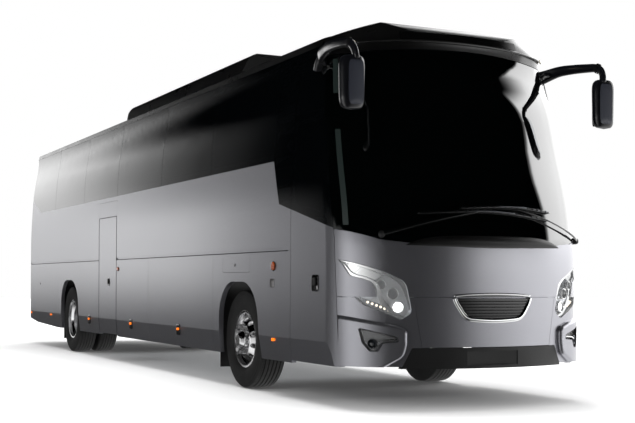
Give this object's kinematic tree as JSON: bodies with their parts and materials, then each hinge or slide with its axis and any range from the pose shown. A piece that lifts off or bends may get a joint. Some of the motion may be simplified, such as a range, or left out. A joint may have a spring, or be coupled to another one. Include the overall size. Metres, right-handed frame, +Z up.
{
  "type": "two-axle high-deck touring coach",
  "caption": "High-deck touring coach with plug doors, bonded side glass, underfloor luggage bays with top-hinged flaps, a roof cooling unit and steerable front wheels.",
  "frame": {"origin": "on the ground, midway along the body and across it", "axes": "+Y towards the tail (the nose faces -Y), +X towards the side without doors, +Z up"},
  "size_m": [2.864, 12.9608, 3.7275],
  "materials": {
    "body_paint": "metallic grey lacquer",
    "roof_paint": "black lacquer",
    "tinted_glass": "dark tinted, bonded",
    "black_plastic": "moulded, grained",
    "lamp_clear": "clear cover over chromed reflectors",
    "lamp_red": "red lens",
    "floor_vinyl": "speckled vinyl",
    "bay_sheet": "sheet",
    "chassis_paint": "black chassis paint",
    "air_spring_rubber": "moulded bellows",
    "dash_plastic": "grained",
    "seat_cloth": "woven plush",
    "tyre_rubber": "rubber",
    "polished_rim": "polished"
  },
  "bodies": {
    "coach": {"right_wall": "body_paint", "left_wall": "body_paint", "front_door": "body_paint", "middle_door": "body_paint", "front_mask": "body_paint", "front_bumper": "body_paint", "rear_panel": "body_paint", "rear_bumper": "body_paint", "roof": "roof_paint", "front_dome": "roof_paint", "roof_pod": "roof_paint", "right_windows": "tinted_glass", "left_windows": "tinted_glass", "front_door_glass": "tinted_glass", "windscreen": "tinted_glass", "rear_window": "tinted_glass", "front_valance": "black_plastic", "mirrors": "black_plastic", "wipers": "black_plastic", "mudflaps": "black_plastic", "headlamps": "lamp_clear", "fog_lamps": "lamp_clear", "tail_lamps": "lamp_red", "deck": "floor_vinyl", "cab_floor": "floor_vinyl", "steps": "floor_vinyl", "luggage_bay": "bay_sheet", "wheel_houses": "chassis_paint", "underframe": "chassis_paint", "front_axle": "chassis_paint", "rear_axle": "chassis_paint", "engine": "chassis_paint", "air_springs": "air_spring_rubber", "dashboard": "dash_plastic", "steering_wheel": "dash_plastic", "parcel_racks": "dash_plastic", "driver_seat": "seat_cloth", "passenger_seats": "seat_cloth"},
    "tie_rod": {"tie_rod": "chassis_paint"},
    "luggage_flap_right_front": {"luggage_flap_right_front": "body_paint"},
    "luggage_flap_right_middle": {"luggage_flap_right_middle": "body_paint"},
    "luggage_flap_right_rear": {"luggage_flap_right_rear": "body_paint"},
    "engine_flap_right": {"engine_flap_right": "body_paint"},
    "fuel_flap": {"fuel_flap": "body_paint"},
    "luggage_flap_left_front": {"luggage_flap_left_front": "body_paint"},
    "luggage_flap_left_middle": {"luggage_flap_left_middle": "body_paint"},
    "luggage_flap_left_rear": {"luggage_flap_left_rear": "body_paint"},
    "engine_flap_left": {"engine_flap_left": "body_paint"},
    "engine_lid": {"engine_lid": "body_paint"},
    "front_flap": {"front_flap": "body_paint"},
    "knuckle_right": {"knuckle_right": "chassis_paint"},
    "front_wheel_right": {"front_tyre_right": "tyre_rubber", "front_rim_right": "polished_rim"},
    "rear_wheels_right": {"rear_tyres_right": "tyre_rubber", "rear_rims_right": "polished_rim"},
    "knuckle_left": {"knuckle_left": "chassis_paint"},
    "front_wheel_left": {"front_tyre_left": "tyre_rubber", "front_rim_left": "polished_rim"},
    "rear_wheels_left": {"rear_tyres_left": "tyre_rubber", "rear_rims_left": "polished_rim"}
  },
  "joints": [
    {"name": "steer_right", "type": "hinge", "parent": "coach", "child": "knuckle_right", "pos_m": [-0.92, -3.64, 0.512], "axis": [0, 0, 1], "range_deg": [-40, 40]},
    {"name": "front_wheel_spin_right", "type": "hinge", "parent": "knuckle_right", "child": "front_wheel_right", "pos_m": [-1.058, -3.64, 0.512], "axis": [1, 0, 0], "continuous": true},
    {"name": "rear_wheels_spin_right", "type": "hinge", "parent": "coach", "child": "rear_wheels_right", "pos_m": [-1.087, 3.42, 0.512], "axis": [1, 0, 0], "continuous": true},
    {"name": "steer_left", "type": "hinge", "parent": "coach", "child": "knuckle_left", "pos_m": [0.92, -3.64, 0.512], "axis": [0, 0, 1], "range_deg": [-40, 40]},
    {"name": "front_wheel_spin_left", "type": "hinge", "parent": "knuckle_left", "child": "front_wheel_left", "pos_m": [1.058, -3.64, 0.512], "axis": [1, 0, 0], "continuous": true},
    {"name": "rear_wheels_spin_left", "type": "hinge", "parent": "coach", "child": "rear_wheels_left", "pos_m": [1.087, 3.42, 0.512], "axis": [1, 0, 0], "continuous": true},
    {"name": "tie_rod_swivel", "type": "hinge", "parent": "knuckle_right", "child": "tie_rod", "pos_m": [-0.92, -3.52, 0.322], "axis": [0, 0, 1], "range_deg": [-40, 40]},
    {"name": "luggage_flap_right_front_hinge", "type": "hinge", "parent": "coach", "child": "luggage_flap_right_front", "pos_m": [-1.275, -1.7925, 1.4], "axis": [0, 1, 0], "range_deg": [0, 90]},
    {"name": "luggage_flap_right_middle_hinge", "type": "hinge", "parent": "coach", "child": "luggage_flap_right_middle", "pos_m": [-1.275, 0.075, 1.4], "axis": [0, 1, 0], "range_deg": [0, 90]},
    {"name": "luggage_flap_right_rear_hinge", "type": "hinge", "parent": "coach", "child": "luggage_flap_right_rear", "pos_m": [-1.275, 2.18, 1.4], "axis": [0, 1, 0], "range_deg": [0, 90]},
    {"name": "engine_flap_right_hinge", "type": "hinge", "parent": "coach", "child": "engine_flap_right", "pos_m": [-1.275, 5.188, 1.4], "axis": [0, 1, 0], "range_deg": [0, 90]},
    {"name": "fuel_flap_hinge", "type": "hinge", "parent": "coach", "child": "fuel_flap", "pos_m": [-1.275, -3.6205, 1.4], "axis": [0, 1, 0], "range_deg": [0, 90]},
    {"name": "luggage_flap_left_front_hinge", "type": "hinge", "parent": "coach", "child": "luggage_flap_left_front", "pos_m": [1.275, -2.021, 1.4], "axis": [0, -1, 0], "range_deg": [0, 90]},
    {"name": "luggage_flap_left_middle_hinge", "type": "hinge", "parent": "coach", "child": "luggage_flap_left_middle", "pos_m": [1.275, -0.141, 1.4], "axis": [0, -1, 0], "range_deg": [0, 90]},
    {"name": "luggage_flap_left_rear_hinge", "type": "hinge", "parent": "coach", "child": "luggage_flap_left_rear", "pos_m": [1.275, 1.7525, 1.4], "axis": [0, -1, 0], "range_deg": [0, 90]},
    {"name": "engine_flap_left_hinge", "type": "hinge", "parent": "coach", "child": "engine_flap_left", "pos_m": [1.275, 5.188, 1.4], "axis": [0, -1, 0], "range_deg": [0, 90]},
    {"name": "engine_lid_hinge", "type": "hinge", "parent": "coach", "child": "engine_lid", "pos_m": [0, 6.456, 1.783], "axis": [1, 0, 0], "range_deg": [0, 80]},
    {"name": "front_flap_hinge", "type": "hinge", "parent": "coach", "child": "front_flap", "pos_m": [0, -6.46, 1.182], "axis": [-1, 0, 0], "range_deg": [0, 85]}
  ],
  "couplings": [
    {"joint": "steer_left", "follows": "steer_right", "ratio": 1},
    {"joint": "tie_rod_swivel", "follows": "steer_right", "ratio": -1}
  ]
}
